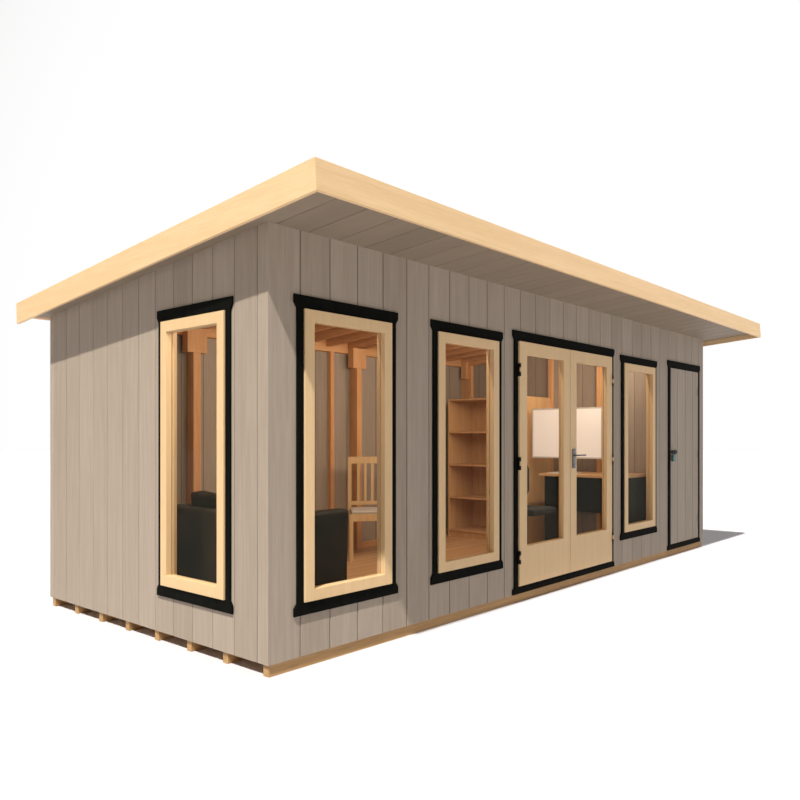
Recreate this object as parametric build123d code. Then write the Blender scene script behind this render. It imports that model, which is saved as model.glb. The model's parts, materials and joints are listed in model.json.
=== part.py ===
from build123d import *
import math
import os

# Timber garden room with a store at its right-hand end, under one mono-pitch roof.
# All sizes are in millimetres. Places are worked out with x measured from the middle
# of the front, y back from the outer face of the front boards, and z up from the ground.

# Body of the building, over the outer faces of the boards
length = 5460
depth = 2440
front_height = 2174
rear_height = 1976

# Floor
bearer_count = 8
bearer_width = 44
bearer_height = 61
floor_board = 16

# Walls
board = 12
stud_width = 44
stud_depth = 44
plate = 44
stud_pitch = 569
back_studs_each_side = 3
extra_back_stud = -276
cross_studs_between = 3

# Roof, measured along the slope and square to it
front_overhang = 543
rear_overhang = 142
side_overhang = 158
fascia_thickness = 18
fascia_drop = 49
joist_width = 44
joist_depth = 65
deck_board = 12
membrane = 3
joists_between_posts = 5
joists_at_each_end = 3

# Roof posts on the back wall
post_width = 64
post_depth = 70
cap_width = 168
cap_depth = 75
cap_height = 180

# Windows, with the sill height measured from the ground
inner_centre = 1214
outer_centre = 2222
end_window_centre = 645
window_width = 610
window_height = 1457
window_sill = 330
frame_face = 60
frame_depth = 70
frame_proud = 22
glass_set_back = 34
glass_thickness = 4
glass_edge = 8
bead_depth = 14

# Dark trim boards around the openings
trim_thickness = 12
trim_width = 40
trim_head = 66
trim_sill = 64
trim_ear = 18
ear_side = 40

# Double doors
door_foot = 112
door_head = 1820
leaf_width = 670
leaf_thickness = 44
leaf_proud = 22
door_gap = 5
stile = 92
top_rail = 88
kick_panel = 271
leaf_glass_set_back = 30
lining = 20
stop_width = 14
door_trim_foot = 48

# Store door
store_leaf_width = 679
store_leaf_proud = 12
ledge_width = 95
ledge_thickness = 32

# Partition between the room and the store
partition_face = 1701

# Fitted shelves and desk against the partition, on the room's side
panel = 18
shelf_unit_depth = 431
shelf_unit_width = 1033
shelf_unit_to_back = 141
shelf_unit_height = 1480
shelf_count = 3
plinth = 64
desk_depth = 577
desk_to_shelf_unit = 235
desk_to_front = 44
desk_height = 725
desk_top = 25
desk_side_set_back = 40
modesty_height = 380

# Screen on the desk, facing the room's left end
screen_set_back = 140
screen_inset = 267
screen_to_shelf_unit = 65
screen_foot_height = 143
screen_height = 483
screen_thickness = 32
screen_border = 14
screen_panel_depth = 2
screen_neck_width = 70
screen_neck_depth = 36
screen_base_width = 280
screen_base_depth = 190
screen_base_height = 10

# Sofa behind the two end windows, its back to the left wall
sofa_to_side = 204
sofa_to_front = 270
sofa_length = 1150
sofa_depth = 562
sofa_arm = 120
sofa_arm_height = 660
sofa_seat_height = 410
sofa_foot = 60
sofa_foot_width = 50
cushion_thickness = 130
cushion_top = 747
cushion_gap = 6
cushion_round = 30

# Dining chair near the back wall, turned towards the front left corner
dining_across = -220
dining_to_back = 494
dining_turn = -40
dining_width = 450
dining_depth = 440
dining_seat_height = 400
dining_back_height = 890
dining_leg = 34
dining_apron = 60
dining_board = 20
dining_top_rail = 62
dining_low_rail = 34
dining_low_rail_gap = 46
dining_slats = 5
dining_slat_width = 24
dining_slat_thickness = 12
dining_pad = 30
dining_pad_edge = 10

# Desk chair, its back to the room's left end
desk_chair_to_desk = 600
desk_chair_to_front = 664
desk_chair_seat = (400, 440, 60)
desk_chair_back = (50, 400, 365)
desk_chair_seat_top = 463
desk_chair_back_top = 898
desk_chair_back_round = 120
desk_chair_round = 22
desk_chair_bar = 16
desk_chair_bar_width = 60
column_radius = 25
star_legs = 5
star_length = 290
star_width = 45
star_height = 30
star_foot = 45
caster_radius = 27
caster_width = 40

# Hinges
knuckle_radius = 6
knuckle_stand_off = 7
hinge_height = 90
hinge_flap = 1.5
hinge_flap_width = 26
hinge_gap = 1
hinge_inset = 200
pin_radius = 2.55
pin_bore = 2.6

# Lever handle and its lock
handle_height = 1010
handle_plate_width = 38
handle_plate_height = 150
handle_plate_thickness = 8
handle_plate_corner = 6
plate_above_lever = 50
spindle_radius = 6
spindle_clearance = 0.5
leaf_bore_radius = 9
lever_length = 92
lever_stand_off = 46
lever_bend = 14
lock_below_lever = 72
lock_radius = 8.5
lock_proud = 3

# Hasp and padlock
hasp_thickness = 3
hasp_inset = 6
hasp_length = 144
hasp_width = 30
eye_inset = 14
eye_thickness = 8
eye_reach = 34
eye_hole_radius = 9
eye_hole_reach = 18
padlock_height = 960
padlock_width = 50
padlock_body = 58
padlock_thickness = 22
padlock_corner = 8
padlock_stand_off = 8
shackle_radius = 4.5
shackle_bend = 15
shackle_height = 34

# Heights and places that follow from these sizes
roof_pitch = math.degrees(math.atan2(front_height - rear_height, depth))
slope = math.radians(roof_pitch)
floor_top = bearer_height + floor_board
half_length = length / 2
frame_inner = board + stud_depth
roof_plane = Pos(0, 0, front_height) * Rot(-roof_pitch, 0, 0)
joist_top = board + joist_depth
deck_top = joist_top + deck_board
roof_top = deck_top + membrane
roof_front = -front_overhang
roof_back = depth / math.cos(slope) + rear_overhang
roof_side = half_length + side_overhang
far = 2 * length
window_head = window_sill + window_height
leaf_foot = door_foot + door_gap
leaf_head = door_head - door_gap
pair_half = leaf_width + door_gap / 2
doorway_half = pair_half + door_gap
store_half = store_leaf_width / 2
store_doorway_half = store_half + door_gap
store_left = outer_centre - store_doorway_half
store_right = outer_centre + store_doorway_half
post_line = back_studs_each_side * stud_pitch

# Places of the furniture, from the inner faces of the framing around it
furniture_back = partition_face - stud_depth
room_back = depth - frame_inner
room_left = board + stud_width - half_length
shelf_unit_front = furniture_back - shelf_unit_depth
shelf_unit_far = room_back - shelf_unit_to_back
shelf_unit_near = shelf_unit_far - shelf_unit_width
desk_front = furniture_back - desk_depth
desk_near = frame_inner + desk_to_front
desk_far = shelf_unit_near - desk_to_shelf_unit
desk_surface = floor_top + desk_height
screen_face = desk_front + screen_set_back
screen_near = desk_near + screen_inset
screen_far = shelf_unit_near - screen_to_shelf_unit
sofa_left = room_left + sofa_to_side
sofa_near = frame_inner + sofa_to_front
dining_place = (dining_across, room_back - dining_to_back)
desk_chair_place = (desk_front - desk_chair_to_desk, frame_inner + desk_chair_to_front)

# The origin is the middle of the base of the whole building
front_reach = front_overhang * math.cos(slope) + fascia_drop * math.sin(slope)
back_reach = roof_back * math.cos(slope) + roof_top * math.sin(slope)
middle_depth = (back_reach - front_reach) / 2


def block(x, y, z):
    """A box between two x, two y and two z values."""
    size = Box(x[1] - x[0], y[1] - y[0], z[1] - z[0])
    return Pos((x[0] + x[1]) / 2, (y[0] + y[1]) / 2, (z[0] + z[1]) / 2) * size


def slope_height(y, height):
    """Height above the ground of a plane that lies height off the soffit's underside."""
    return front_height - y * math.tan(slope) + height / math.cos(slope)


def side_profile(points, x):
    """An outline of y and z values, made into a piece that runs from one x to another."""
    outline = make_face(Plane.YZ * Polyline(*points, close=True))
    return Pos(x[0], 0, 0) * extrude(outline, x[1] - x[0], dir=(1, 0, 0))


def up_to_slope(x, y, bottom, height):
    """An upright piece whose top follows the roof, height off the soffit's underside."""
    tops = [(y[1], slope_height(y[1], height)), (y[0], slope_height(y[0], height))]
    return side_profile([(y[0], bottom), (y[1], bottom)] + tops, x)


def sloped_plate(x, y, top, thickness):
    """A plate with upright sides that lies along the roof's slope."""
    low = [(place, slope_height(place, top - thickness)) for place in y]
    high = [(place, slope_height(place, top)) for place in reversed(y)]
    return side_profile(low + high, x)


def fuse(pieces):
    """One solid from pieces that overlap or share faces."""
    whole = pieces[0]
    for piece in pieces[1:]:
        whole = whole + piece
    return whole.clean()


def write(name, shape):
    """Write one named piece, moved to the building's own origin."""
    placed = Pos(0, -middle_depth, 0) * shape
    export_step(placed, f"parts/{name}.step")


def window_hole(centre):
    """The hole in the front wall for one window."""
    half = window_width / 2
    return block((centre - half, centre + half), (-far, far), (window_sill, window_head))


# Floor
def make_bearers():
    first = board
    last = depth - board - bearer_width
    step = (last - first) / (bearer_count - 1)
    ends = (board - half_length, half_length - board)
    bars = []
    for index in range(bearer_count):
        start = first + index * step
        bars.append(block(ends, (start, start + bearer_width), (0, bearer_height)))
    write("floor_bearers", Compound(children=bars))


def make_floor():
    across = (board - half_length, half_length - board)
    along = (board, depth - board)
    write("floor_deck", block(across, along, (bearer_height, floor_top)))


# Boarded outer skin
def front_skin(x, bottom=bearer_height):
    return up_to_slope(x, (0, board), bottom, 0)


def make_front_wall():
    door_edge = doorway_half + lining
    store_edges = (store_left - lining, store_right + lining)
    over = door_head + lining
    left = front_skin((-half_length, -door_edge))
    for centre in (-outer_centre, -inner_centre):
        left = left - window_hole(centre)
    write("front_wall_left", left)
    write("front_wall_over_doors", front_skin((-door_edge, door_edge), over))
    write("front_wall_right", front_skin((door_edge, store_edges[0])) - window_hole(inner_centre))
    write("front_wall_over_store_door", front_skin(store_edges, over))
    write("front_wall_end", front_skin((store_edges[1], half_length)))


def end_window_hole():
    half = window_width / 2
    near = (end_window_centre - half, end_window_centre + half)
    return block((-far, 0), near, (window_sill, window_head))


def make_other_walls():
    between = (board, depth - board)
    left = up_to_slope((-half_length, board - half_length), between, bearer_height, 0)
    right = up_to_slope((half_length - board, half_length), between, bearer_height, 0)
    back = up_to_slope((-half_length, half_length), (depth - board, depth), bearer_height, 0)
    write("left_wall", left - end_window_hole())
    write("right_wall", right)
    write("back_wall", back)


# Framing: plates, headers and sills in one set, upright studs in another
front_line = (board, frame_inner)
back_line = (depth - frame_inner, depth - board)
inner_length = half_length - board


def opening_edges():
    """Left and right edges of each opening in the front framing, from left to right."""
    half = window_width / 2
    door_edge = doorway_half + lining
    return [
        (-outer_centre - half, -outer_centre + half),
        (-inner_centre - half, -inner_centre + half),
        (-door_edge, door_edge),
        (inner_centre - half, inner_centre + half),
        (store_left - lining, store_right + lining),
    ]


def is_doorway(edges):
    return edges[1] - edges[0] > window_width


def upright(x, y, bottom=floor_top + plate, top=None):
    """A stud between two plates, or up to the roof plate when no top is given."""
    across = (x - stud_width / 2, x + stud_width / 2)
    if top is None:
        return up_to_slope(across, y, bottom, board - plate)
    return block(across, y, (bottom, top))


def make_long_wall_plates():
    pieces = [sloped_plate((-inner_length, inner_length), front_line, board, plate)]
    pieces.append(sloped_plate((-inner_length, inner_length), back_line, board, plate))
    pieces.append(block((-inner_length, inner_length), back_line, (floor_top, floor_top + plate)))
    start = -inner_length
    for edges in opening_edges():
        head = door_head + lining if is_doorway(edges) else window_head
        pieces.append(block(edges, front_line, (head, head + plate)))
        if is_doorway(edges):
            pieces.append(block((start, edges[0]), front_line, (floor_top, floor_top + plate)))
            start = edges[1]
        else:
            pieces.append(block(edges, front_line, (window_sill - plate, window_sill)))
    pieces.append(block((start, inner_length), front_line, (floor_top, floor_top + plate)))
    write("long_wall_plates", Compound(children=pieces))


def make_long_wall_studs():
    half = stud_width / 2
    pieces = [upright(half - inner_length, front_line), upright(inner_length - half, front_line)]
    for edges in opening_edges():
        doorway = is_doorway(edges)
        centre = (edges[0] + edges[1]) / 2
        head = door_head + lining if doorway else window_head
        for place in (edges[0] - half, edges[1] + half):
            pieces.append(upright(place, front_line))
        pieces.append(upright(centre, front_line, bottom=head + plate))
        if not doorway:
            pieces.append(upright(centre, front_line, top=window_sill - plate))
    reach = back_studs_each_side * stud_pitch
    for index in range(-back_studs_each_side, back_studs_each_side + 1):
        pieces.append(upright(index * stud_pitch, back_line))
    for place in (half - inner_length, inner_length - half):
        pieces.append(upright(place, back_line))
    for side in (-1, 1):
        pieces.append(upright(side * (reach + inner_length) / 2, back_line))
    pieces.append(upright(extra_back_stud, back_line))
    write("long_wall_studs", Compound(children=pieces))


# The cross walls: left end, partition and right end
def cross_lines():
    """Left and right faces of each cross wall's framing."""
    return [
        (-inner_length, stud_width - inner_length),
        (partition_face - stud_depth, partition_face),
        (inner_length - stud_width, inner_length),
    ]


def cross_span(index):
    """Front and back ends of a cross wall: the partition stops at its roof post."""
    end = depth - frame_inner
    if index == 1:
        end = end - cap_depth
    return (frame_inner, end)


def make_cross_wall_plates():
    pieces = []
    for index, line in enumerate(cross_lines()):
        span = cross_span(index)
        pieces.append(block(line, span, (floor_top, floor_top + plate)))
        pieces.append(sloped_plate(line, span, board, plate))
    near = end_window_centre - window_width / 2
    far_side = end_window_centre + window_width / 2
    left_line = cross_lines()[0]
    for bottom in (window_head, window_sill - plate):
        pieces.append(block(left_line, (near, far_side), (bottom, bottom + plate)))
    write("cross_wall_plates", Compound(children=pieces))


def cross_stud(line, place, bottom=floor_top + plate, top=None):
    along = (place - stud_width / 2, place + stud_width / 2)
    if top is None:
        return up_to_slope(line, along, bottom, board - plate)
    return block(line, along, (bottom, top))


def make_cross_wall_studs():
    half = stud_width / 2
    lines = cross_lines()
    pieces = []
    for index, line in enumerate(lines):
        span = cross_span(index)
        pieces.append(cross_stud(line, span[0] + half))
        pieces.append(cross_stud(line, span[1] - half))
    for side in (-1, 1):
        beside = end_window_centre + side * (window_width / 2 + half)
        pieces.append(cross_stud(lines[0], beside))
    pieces.append(cross_stud(lines[0], end_window_centre, bottom=window_head + plate))
    pieces.append(cross_stud(lines[0], end_window_centre, top=window_sill - plate))
    rear_stud = (end_window_centre + window_width / 2 + depth - frame_inner) / 2
    pieces.append(cross_stud(lines[0], rear_stud))
    for line in lines[1:]:
        for index in range(cross_studs_between):
            pieces.append(cross_stud(line, frame_inner + half + (index + 1) * stud_pitch))
    write("cross_wall_studs", Compound(children=pieces))


def make_partition_lining():
    across = (partition_face, partition_face + board)
    write("partition_lining", up_to_slope(across, cross_span(1), floor_top, board))


def make_roof_posts():
    """A post with a wider cap under the meeting edges of the roof sections."""
    back = depth - frame_inner
    cap_foot = rear_height + board - cap_height
    posts = []
    for centre in (-post_line, 0, post_line):
        shaft = (centre - post_width / 2, centre + post_width / 2)
        cap = (centre - cap_width / 2, centre + cap_width / 2)
        post = block(shaft, (back - post_depth, back), (floor_top, cap_foot))
        posts.append(post + up_to_slope(cap, (back - cap_depth, back), cap_foot, board))
    write("roof_posts", Compound(children=posts))


# Roof
def roof_block(x, along, height):
    """A box laid in the roof: x, distance down the slope, height above the soffit."""
    return roof_plane * block(x, along, height)


def roof_prism(points, height):
    """An outline drawn in the roof's plane, made into a board that stands square to it."""
    outline = Pos(0, 0, height[0]) * make_face(Polyline(*points, close=True))
    return roof_plane * extrude(outline, height[1] - height[0], dir=(0, 0, 1))


def spread(start, end, count):
    """The places that divide a gap evenly, without its ends."""
    step = (end - start) / (count + 1)
    return [start + step * (index + 1) for index in range(count)]


def joist_lines():
    """Middle of each joist: pairs over the post caps and even ones between."""
    pair = (cap_width - joist_width) / 2
    edge = roof_side - fascia_thickness - joist_width / 2
    right = [pair] + spread(pair, post_line - pair, joists_between_posts)
    right += [post_line - pair, post_line + pair]
    right += spread(post_line + pair, edge, joists_at_each_end) + [edge]
    return [-place for place in reversed(right)] + right


inside_front = roof_front + fascia_thickness
inside_back = roof_back - fascia_thickness
inside_side = roof_side - fascia_thickness


def make_joists():
    joists = []
    along = (inside_front + joist_width, inside_back - joist_width)
    for place in joist_lines():
        across = (place - joist_width / 2, place + joist_width / 2)
        joists.append(roof_block(across, along, (board, joist_top)))
    write("roof_joists", Compound(children=joists))


def make_trimmers():
    """A trimmer across the joist ends at the front and back, and blocks above the long walls."""
    across = (-inside_side, inside_side)
    pieces = [roof_block(across, (inside_front, inside_front + joist_width), (board, joist_top))]
    pieces.append(roof_block(across, (inside_back - joist_width, inside_back), (0, joist_top)))
    lines = joist_lines()
    back = (depth - frame_inner) / math.cos(slope)
    for start in (board, back):
        for left, right in zip(lines, lines[1:]):
            gap = (left + joist_width / 2, right - joist_width / 2)
            pieces.append(roof_block(gap, (start, start + joist_width), (board, joist_top)))
    write("roof_trimmers", Compound(children=pieces))


def make_soffit():
    whole = roof_block((-inside_side, inside_side), (inside_front, inside_back - joist_width), (0, board))
    inside = block((-inner_length, inner_length), (board, depth - board), (0, far))
    write("roof_soffit", whole - inside)


def make_covering():
    across = (-inside_side, inside_side)
    along = (inside_front, inside_back)
    write("roof_deck", roof_block(across, along, (joist_top, deck_top)))
    write("roof_membrane", roof_block(across, along, (deck_top, roof_top)))


def make_fascias():
    """The front corners are mitred; the side boards cover the ends of the back board."""
    height = (-fascia_drop, roof_top)
    front = [
        (-roof_side, roof_front),
        (roof_side, roof_front),
        (inside_side, inside_front),
        (-inside_side, inside_front),
    ]
    side = [
        (roof_side, roof_front),
        (roof_side, roof_back),
        (inside_side, roof_back),
        (inside_side, inside_front),
    ]
    right = roof_prism(side, height)
    write("front_fascia", roof_prism(front, height))
    write("side_fascias", Compound(children=[mirror(right, about=Plane.YZ), right]))
    back = roof_block((-inside_side, inside_side), (inside_back, roof_back), (0, roof_top))
    write("back_fascia", back)


# Windows, drawn with x across the window, y in from the frame's outer face, z up
def centred(width, y, z):
    """A box that is centred across x."""
    return block((-width / 2, width / 2), y, z)


def glass_pane(width, bottom, top, set_back):
    """A pane whose edges sit in the groove of its frame."""
    edge = glass_edge
    y = (set_back, set_back + glass_thickness)
    return centred(width + 2 * edge, y, (bottom - edge, top + edge))


def window_frame():
    sight = window_width - 2 * frame_face
    bottom = window_sill + frame_face
    top = window_head - frame_face
    outer = centred(window_width, (0, frame_depth), (window_sill, window_head))
    opening = centred(sight, (-far, far), (bottom, top))
    inner_edge = glass_set_back + glass_thickness + bead_depth
    rebate = centred(sight + 2 * glass_edge, (inner_edge, far), (bottom - glass_edge, top + glass_edge))
    return outer - opening - rebate - window_pane()


def window_pane():
    sight = window_width - 2 * frame_face
    return glass_pane(sight, window_sill + frame_face, window_head - frame_face, glass_set_back)


def eared_board(half, bottom, top, side, ears_up):
    """A head or sill board: its ends reach past the upright boards in chamfered ears."""
    wide = half + trim_ear
    corner = top - side if ears_up else bottom + side
    flat = top if ears_up else bottom
    neck = bottom if ears_up else top
    points = [(-wide, flat), (wide, flat), (wide, corner), (half, neck), (-half, neck), (-wide, corner)]
    face = make_face(Plane.XZ * Polyline(*points, close=True))
    return extrude(face, trim_thickness, dir=(0, 1, 0))


def opening_trim(inner_half, bottom, top, foot):
    """Dark boards round an opening, with the wall's face at y = trim_thickness."""
    outer_half = inner_half + trim_width
    sides = centred(2 * outer_half, (0, trim_thickness), (bottom, top))
    sides = sides - centred(2 * inner_half, (-far, far), (bottom, top))
    head_board = eared_board(outer_half, top, top + trim_head, ear_side, True)
    foot_side = ear_side * foot / trim_head
    foot_board = eared_board(outer_half, bottom - foot, bottom, foot_side, False)
    return fuse([head_board, sides, foot_board])


def window_places():
    """Name and place of each window, for pieces drawn from the frame's outer face."""
    front = {"outer": -outer_centre, "left": -inner_centre, "right": inner_centre}
    places = {name: Pos(x, 0, 0) for name, x in front.items()}
    places["end"] = Pos(-half_length, end_window_centre, 0) * Rot(0, 0, -90)
    return places


def make_windows():
    places = window_places()
    frame = Pos(0, -frame_proud, 0) * window_frame()
    pane = Pos(0, -frame_proud, 0) * window_pane()
    trim = opening_trim(window_width / 2, window_sill, window_head, trim_sill)
    trim = Pos(0, -trim_thickness, 0) * trim
    for name, place in places.items():
        write(f"{name}_window_frame", place * frame)
    write("window_glass", Compound(children=[place * pane for place in places.values()]))
    write("window_trim", Compound(children=[place * trim for place in places.values()]))


# Doorways
def doorway_lining(half, leaf_back):
    """Jambs, head and threshold in one frame, with a stop all round behind the leaf."""
    top = door_head + lining
    wall = (0, frame_inner)
    outer = centred(2 * (half + lining), wall, (floor_top, top))
    stop = (leaf_back + door_gap, frame_inner)
    opening = centred(2 * half, (-far, far), (door_foot, door_head))
    ring = outer - opening
    inner = centred(2 * half, stop, (door_foot, door_head))
    clear = centred(2 * (half - stop_width), (-far, far), (door_foot + stop_width, door_head - stop_width))
    return fuse([ring, inner - clear])


def make_doorways():
    double = doorway_lining(doorway_half, leaf_thickness - leaf_proud)
    store_back = board - store_leaf_proud + ledge_thickness
    store = Pos(outer_centre, 0, 0) * doorway_lining(store_doorway_half, store_back)
    write("double_door_lining", double)
    write("store_door_lining", store)
    trims = []
    for centre, half in ((0, doorway_half), (outer_centre, store_doorway_half)):
        trim = opening_trim(half, door_foot, door_head, door_trim_foot)
        trims.append(Pos(centre, -trim_thickness, 0) * trim)
    write("door_trim", Compound(children=trims))


# Double doors: the right leaf, drawn in place and mirrored for the left one
leaf_front = -leaf_proud
leaf_inner = door_gap / 2
leaf_outer = leaf_inner + leaf_width
handle_centre = leaf_inner + stile / 2


def leaf_pane():
    sight = leaf_width - 2 * stile
    pane = glass_pane(sight, leaf_foot + kick_panel, leaf_head - top_rail, leaf_glass_set_back)
    return Pos(leaf_inner + leaf_width / 2, leaf_front, 0) * pane


def door_leaf():
    thickness = (leaf_front, leaf_front + leaf_thickness)
    leaf = block((leaf_inner, leaf_outer), thickness, (leaf_foot, leaf_head))
    sight = block(
        (leaf_inner + stile, leaf_outer - stile),
        (-far, far),
        (leaf_foot + kick_panel, leaf_head - top_rail),
    )
    return leaf - sight - leaf_pane()


def rod_through(x, z, radius, y):
    """A round bar along y."""
    bar = Rot(-90, 0, 0) * Cylinder(radius, y[1] - y[0])
    return Pos(x, (y[0] + y[1]) / 2, z) * bar


def handle_plate(y):
    """A backplate with round corners, from one y to another."""
    plate_outline = Plane.XZ * RectangleRounded(handle_plate_width, handle_plate_height, handle_plate_corner)
    middle = handle_height - handle_plate_height / 2 + plate_above_lever
    slab = extrude(plate_outline, y[1] - y[0], dir=(0, 1, 0))
    return Pos(handle_centre, y[0], middle) * slab


def make_handle():
    faces = (leaf_front, leaf_front + leaf_thickness)
    outer = (faces[0] - handle_plate_thickness, faces[0])
    inner = (faces[1], faces[1] + handle_plate_thickness)
    bore = rod_through(handle_centre, handle_height, spindle_radius + spindle_clearance, (-far, far))
    lock_height = handle_height - lock_below_lever
    long = handle_plate_thickness + lock_proud
    plates = []
    for y, front in ((outer, outer[0] - lock_proud), (inner, inner[0])):
        cylinder = rod_through(handle_centre, lock_height, lock_radius, (front, front + long))
        plates.append(fuse([handle_plate(y), cylinder]) - bore)
    write("door_handle_plates", Compound(children=plates))
    out = outer[0] - lever_stand_off
    back = inner[1] + lever_stand_off
    tip = handle_centre + lever_length
    route = FilletPolyline(
        (tip, out, handle_height),
        (handle_centre, out, handle_height),
        (handle_centre, back, handle_height),
        (tip, back, handle_height),
        radius=lever_bend,
    )
    section = Plane(origin=route @ 0, z_dir=route % 0) * Circle(spindle_radius)
    write("door_lever", sweep(section, path=route))


def make_double_doors():
    bore = rod_through(handle_centre, handle_height, leaf_bore_radius, (-far, far))
    leaf = door_leaf()
    write("right_door_leaf", leaf - bore)
    write("left_door_leaf", mirror(leaf, about=Plane.YZ))
    write("right_door_glass", leaf_pane())
    write("left_door_glass", mirror(leaf_pane(), about=Plane.YZ))
    make_handle()


# Store door
store_front = -store_leaf_proud


def make_store_door():
    edges = (outer_centre - store_half, outer_centre + store_half)
    face = (store_front, store_front + board)
    write("store_door_boards", block(edges, face, (leaf_foot, leaf_head)))
    back = (face[1], face[1] + ledge_thickness)
    frame = block(edges, back, (leaf_foot, leaf_head))
    middle = (leaf_foot + leaf_head) / 2
    low_bay = (leaf_foot + ledge_width, middle - ledge_width / 2)
    high_bay = (middle + ledge_width / 2, leaf_head - ledge_width)
    for bay in (low_bay, high_bay):
        frame = frame - block((edges[0] + ledge_width, edges[1] - ledge_width), (-far, far), bay)
    write("store_door_ledges", frame)


# Butt hinges: the axis stands just off the leaf's face, over the gap beside the jamb
def upright_rod(x, y, radius, z):
    return Pos(x, y, (z[0] + z[1]) / 2) * Cylinder(radius, z[1] - z[0])


def hinge_pieces(jamb, leaf_face, height):
    """Jamb half and leaf half of one butt hinge, its flaps in the gap right of a leaf."""
    x = jamb - door_gap / 2
    y = leaf_face - knuckle_stand_off
    third = hinge_height / 3
    low = height - hinge_height / 2
    marks = [low + third * index for index in range(4)]
    flap_y = (leaf_face, leaf_face + hinge_flap_width)
    jamb_x = (jamb - hinge_flap, jamb)
    jamb_half = [upright_rod(x, y, pin_radius, (marks[0], marks[3]))]
    jamb_half.append(block(jamb_x, flap_y, (marks[0], marks[3])))
    for bottom, top in ((marks[0], marks[1] - hinge_gap), (marks[2] + hinge_gap, marks[3])):
        jamb_half.append(upright_rod(x, y, knuckle_radius, (bottom, top)))
        jamb_half.append(block(jamb_x, (y, leaf_face), (bottom, top)))
    leaf_x = (jamb - door_gap, jamb - door_gap + hinge_flap)
    leaf_half = [upright_rod(x, y, knuckle_radius, (marks[1], marks[2]))]
    leaf_half.append(block(leaf_x, flap_y, (marks[0], marks[3])))
    leaf_half.append(block(leaf_x, (y, leaf_face), (marks[1], marks[2])))
    bore = upright_rod(x, y, pin_bore, (marks[0], marks[3]))
    return fuse(jamb_half), fuse(leaf_half) - bore


def make_hinges():
    heights = (leaf_foot + hinge_inset, (leaf_foot + leaf_head) / 2, leaf_head - hinge_inset)
    jamb_halves = []
    doors = {"right_door": [], "left_door": [], "store_door": []}
    for height in heights:
        jamb_half, leaf_half = hinge_pieces(doorway_half, leaf_front, height)
        jamb_halves += [jamb_half, mirror(jamb_half, about=Plane.YZ)]
        doors["right_door"].append(leaf_half)
        doors["left_door"].append(mirror(leaf_half, about=Plane.YZ))
        jamb_half, leaf_half = hinge_pieces(store_right, store_front, height)
        jamb_halves.append(jamb_half)
        doors["store_door"].append(leaf_half)
    write("jamb_hinge_flaps", Compound(children=jamb_halves))
    for name, halves in doors.items():
        write(f"{name}_hinges", Compound(children=halves))


# Hasp plate and padlock on the store door's free edge
def make_hasp(edge, low):
    """A strap on the door's face with an eye that stands out from it."""
    strap = (edge + hasp_inset, edge + hasp_inset + hasp_length)
    plate_face = (store_front - hasp_thickness, store_front)
    eye = (edge + eye_inset, edge + eye_inset + eye_thickness)
    loop = block(eye, (store_front - eye_reach, store_front - hasp_thickness), (low, low + hasp_width))
    middle = Pos(0, store_front - eye_hole_reach, low + hasp_width / 2)
    hole = middle * Rot(0, 90, 0) * Cylinder(eye_hole_radius, far)
    write("hasp", fuse([block(strap, plate_face, (low, low + hasp_width)), loop]) - hole)


def make_padlock(middle, top):
    """A rounded body with a shackle that passes through the hasp's eye."""
    back = store_front - padlock_stand_off
    width = (middle - padlock_width / 2, middle + padlock_width / 2)
    body = block(width, (back - padlock_thickness, back), (top - padlock_body, top))
    body = fillet(body.edges().filter_by(Axis.Y), padlock_corner)
    y = back - padlock_thickness / 2
    foot = top - shackle_bend
    bend = top + shackle_height - shackle_bend
    left = middle - shackle_bend
    right = middle + shackle_bend
    route = Line((left, y, foot), (left, y, bend))
    route += ThreePointArc((left, y, bend), (middle, y, bend + shackle_bend), (right, y, bend))
    route += Line((right, y, bend), (right, y, foot))
    section = Plane(origin=route @ 0, z_dir=(0, 0, 1)) * Circle(shackle_radius)
    write("padlock", fuse([body, sweep(section, path=route)]))


def make_lock():
    edge = outer_centre - store_half
    make_hasp(edge, padlock_height + hasp_width)
    make_padlock(edge + eye_inset + eye_thickness / 2, padlock_height + padlock_body / 4)


# Shelves and desk
def make_shelf_unit():
    """Open shelves that face the room's left end, with a plinth and a back panel."""
    depth_range = (shelf_unit_front, furniture_back)
    top = floor_top + shelf_unit_height
    pieces = [block((furniture_back - panel, furniture_back), (shelf_unit_near, shelf_unit_far), (floor_top, top))]
    for side in (shelf_unit_near, shelf_unit_far - panel):
        pieces.append(block(depth_range, (side, side + panel), (floor_top, top)))
    base = floor_top + plinth
    inner = (shelf_unit_near, shelf_unit_far)
    levels = [base] + spread(base, top - panel, shelf_count) + [top - panel]
    for level in levels:
        pieces.append(block(depth_range, inner, (level, level + panel)))
    plinth_front = shelf_unit_front + panel
    pieces.append(block((plinth_front, plinth_front + panel), inner, (floor_top, base)))
    write("shelf_unit", fuse(pieces))


def make_desk():
    under = desk_surface - desk_top
    pieces = [block((desk_front, furniture_back), (desk_near, desk_far), (under, desk_surface))]
    side_front = desk_front + desk_side_set_back
    for side in (desk_near + desk_side_set_back, desk_far - desk_side_set_back - panel):
        pieces.append(block((side_front, furniture_back), (side, side + panel), (floor_top, under)))
    rear = (furniture_back - panel, furniture_back)
    span = (desk_near + desk_side_set_back, desk_far - desk_side_set_back)
    pieces.append(block(rear, span, (under - modesty_height, under)))
    write("desk", fuse(pieces))


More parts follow.
